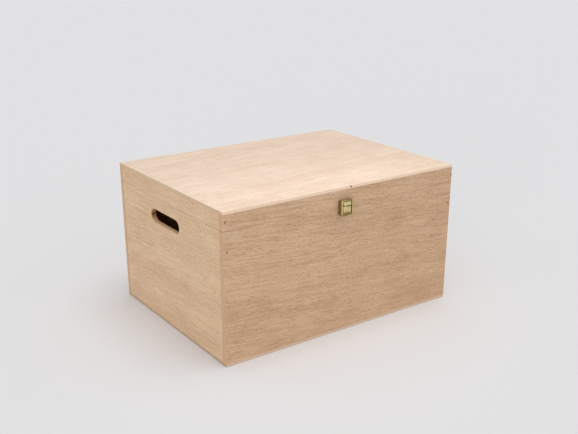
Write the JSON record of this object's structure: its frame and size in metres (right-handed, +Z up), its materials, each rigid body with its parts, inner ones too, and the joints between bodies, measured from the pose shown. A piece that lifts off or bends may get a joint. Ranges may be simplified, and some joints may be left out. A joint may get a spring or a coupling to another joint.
{
  "type": "wooden toy box",
  "caption": "Plain plywood toy box with a hinged lid, hand holes in its ends and a brass snap hasp at the front.",
  "frame": {"origin": "middle of the underside of the bottom panel", "axes": "+X to the right along the front, +Y to the back where the hinges are, +Z up"},
  "size_m": [0.4, 0.3097, 0.215],
  "materials": {
    "wall_plywood": "raw sanded plywood",
    "panel_plywood": "raw sanded plywood",
    "brass": "satin, lightly tarnished",
    "brad_steel": "dull, darkened"
  },
  "bodies": {
    "box": {"box_front": "wall_plywood", "box_back": "wall_plywood", "box_left_end": "wall_plywood", "box_right_end": "wall_plywood", "box_bottom": "panel_plywood", "corner_brads": "brad_steel", "bottom_brads": "brad_steel", "hinge_left_box_leaf": "brass", "hinge_right_box_leaf": "brass", "hinge_left_pin": "brass", "hinge_right_pin": "brass", "hinge_box_screws": "brass", "latch_box_plate": "brass", "latch_box_nails": "brass"},
    "lid": {"lid_top": "panel_plywood", "lid_front_rim": "wall_plywood", "lid_back_rim": "wall_plywood", "lid_left_rim": "wall_plywood", "lid_right_rim": "wall_plywood", "lid_corner_brads": "brad_steel", "lid_top_brads": "brad_steel", "hinge_left_lid_leaf": "brass", "hinge_right_lid_leaf": "brass", "hinge_lid_screws": "brass", "latch_lid_plate": "brass", "latch_lid_nails": "brass", "latch_pin": "brass"},
    "latch": {"latch_hasp": "brass"}
  },
  "joints": [
    {"name": "lid_hinge", "type": "hinge", "parent": "box", "child": "lid", "pos_m": [0, 0.151, 0.1885], "axis": [-1, 0, 0], "range_deg": [0, 180]},
    {"name": "hasp_pivot", "type": "hinge", "parent": "lid", "child": "latch", "pos_m": [-0.007, -0.15335, 0.1948], "axis": [-1, 0, 0], "range_deg": [0, 90]}
  ]
}
